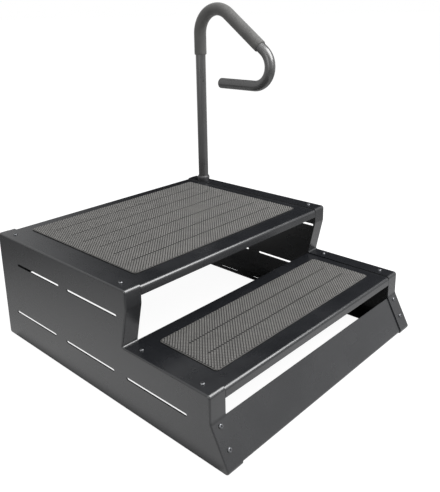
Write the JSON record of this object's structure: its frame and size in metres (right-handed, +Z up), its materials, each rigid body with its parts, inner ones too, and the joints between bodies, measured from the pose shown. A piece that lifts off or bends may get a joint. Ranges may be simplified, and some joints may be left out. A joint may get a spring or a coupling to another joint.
{
  "type": "camper entry step",
  "caption": "Free-standing entry step of folded dark-coated sheet with raised ribbed mats, slotted side cheeks, an open riser and a bent grab handle with a foam grip",
  "frame": {"origin": "on the ground, at the centre of the footprint", "axes": "+Z up along the post, -Y forward past the lower tread's nose, +X across to the side with the handle"},
  "size_m": [0.78, 0.86, 0.9195],
  "materials": {
    "coated_sheet": "satin powder coat",
    "coated_tube": "satin powder coat",
    "mat": "matt grit",
    "dark_screws": "blackened",
    "zinc": "zinc plated",
    "foam": "matt foam",
    "cap": "matt"
  },
  "bodies": {
    "root": {"left_cheek": "coated_sheet", "right_cheek": "coated_sheet", "upper_tread": "coated_sheet", "lower_tread": "coated_sheet", "upper_mat": "mat", "lower_mat": "mat", "kick_plate": "coated_sheet", "rear_brace": "coated_sheet", "upper_stiffeners": "coated_sheet", "lower_stiffener": "coated_sheet", "tread_screws": "dark_screws", "tread_nuts": "zinc", "kick_screws": "dark_screws", "kick_nuts": "zinc", "brace_screws": "dark_screws", "brace_nuts": "zinc", "handle_tube": "coated_tube", "foam_grip": "foam", "handle_end_cap": "cap", "post_collar": "cap", "post_bracket": "coated_sheet", "bracket_screws": "dark_screws", "bracket_nuts": "zinc", "post_insert": "zinc", "post_bolt": "zinc"}
  },
  "joints": []
}
